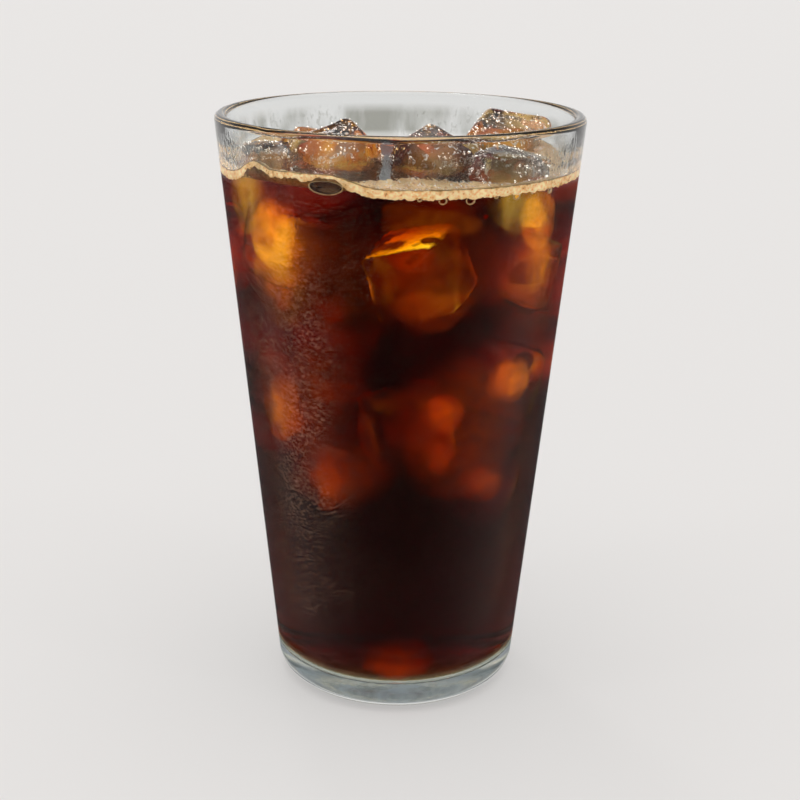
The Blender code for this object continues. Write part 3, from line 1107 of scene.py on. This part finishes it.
def strew(name, sources, test, amounts, tree, material):
    bm = bmesh.new()
    for source in sources:
        bm.from_mesh(source.data)
    bm.normal_update()
    mesh = meshOf(bm, name)
    markFaces(mesh, "bubbly", test)
    obj = newObject(name, mesh)
    values = dict(zip(("Density", "Least", "Most", "Sunk"), amounts))
    addNodesModifier(obj, tree, {**values, "Seed": bubbles["seed"], "Material": material})
    applyAll(obj)
    addPiece(obj, "coffee_foam")
    print(name, len(obj.data.polygons), "faces")


def makeBubbles(iceCubes, foamRing):
    tree = scatterTree()
    skin = makeBubbleMaterial("bubbleSkin", "#FFFFFF", "#8A5A2C")
    foamSkin = makeBubbleMaterial("foamBubbleSkin", "#FFF4DE", "#8A5A2C", 0.35)
    lowest = drink["level"] - 0.3 * mm
    tests = (lambda c, n: c.z > lowest and n.z > -0.2, lambda c, n: n.z > 0.15 and pastInner(c) < -0.5 * mm)
    strew("iceBubbles", iceCubes, tests[0], bubbles["onIce"], tree, skin)
    strew("foamBubbles", [foamRing], tests[1], bubbles["onFoam"], tree, foamSkin)


# The stage: a pale floor that glows a little, a soft sky and three lamps
stage = {
    "floorRadius": 6.0,
    "floorGlow": 0.442,
    # height in the sky and brightness there
    "sky": ((0.0, 0.82), (0.30, 0.80), (0.48, 0.25), (0.72, 0.30), (0.86, 1.75)),
    # name, elevation, azimuth and width in degrees, strength; far off, they light the floor evenly
    "lamps": (
        ("backLamp", 58, 110, 7, 0.16),
        ("leftLamp", 42, 205, 9, 0.10),
        ("rightLamp", 48, 330, 9, 0.08),
    ),
}


def makeStage():
    bm = bmesh.new()
    bmesh.ops.create_circle(bm, cap_ends=True, radius=stage["floorRadius"], segments=96)
    mesh = meshOf(bm, "floor")
    material, tree = newMaterial("palePaint")
    links = {
        "Base Color": "#A2A09F",
        "Roughness": 0.85,
        "Specular IOR Level": 0.1,
        "Emission Color": "#FFFDFB",
        "Emission Strength": stage["floorGlow"],
    }
    finished(material, shader(tree, "Principled", links))
    obj = newObject("floor", mesh, material)
    world = bpy.data.worlds.new("studio")
    scene.world = world
    world.use_nodes = True
    tree = world.node_tree
    tree.nodes.clear()
    up = heightOf(tree, addNode(tree, "ShaderNodeTexCoord").outputs["Generated"])
    sky = ramp(tree, up, [(position, (v, v * 0.992, v * 0.985, 1)) for position, v in stage["sky"]])
    back = nodeOut(tree, "ShaderNodeBackground", {"Color": sky, "Strength": 1.0})
    addNode(tree, "ShaderNodeOutputWorld", {"Surface": back})
    for name, elevation, azimuth, width, strength in stage["lamps"]:
        lamp = bpy.data.lights.new(name, "SUN")
        lamp.angle = radians(width)
        lamp.energy = strength
        light = bpy.data.objects.new(name, lamp)
        a, e = radians(azimuth), radians(elevation)
        towards = Vector((cos(a) * cos(e), sin(a) * cos(e), sin(e)))
        light.rotation_euler = towards.to_track_quat("Z", "Y").to_euler()
        scene.collection.objects.link(light)
    print("stage made")


# The camera, fitted to the photo: metres, millimetres of lens and degrees of roll
view = {
    "sensor": 36,
    "lens": 66.9,
    "place": (0, -0.35505, 0.18735),
    "aim": (0.00058, 0, 0.0717),
    "roll": 0.62,
    "nearest": 0.01,
}


def makeCamera():
    lens = bpy.data.cameras.new("camera")
    lens.sensor_width = view["sensor"]
    lens.lens = view["lens"]
    lens.clip_start = view["nearest"]
    camera = bpy.data.objects.new("camera", lens)
    scene.collection.objects.link(camera)
    camera.location = view["place"]
    camera.rotation_mode = "QUATERNION"
    look = (Vector(view["aim"]) - camera.location).to_track_quat("-Z", "Y")
    camera.rotation_quaternion = look @ Euler((0, 0, radians(view["roll"]))).to_quaternion()
    scene.camera = camera
    scene.view_settings.view_transform = "Standard"
    # light crosses many skins of glass, drink, ice and bubbles
    scene.cycles.max_bounces = 26
    scene.cycles.transmission_bounces = 26
    scene.cycles.transparent_max_bounces = 64
    print("camera made")


makeTumbler()
iceCubes, iceCutters, shells = makeIce()
makeCoffee(iceCutters, shells)
foamRing = makeFoam()
makeBubbles(iceCubes, foamRing)
makeBubbleRings()
makeBubbleFilm()
makeStage()
makeCamera()
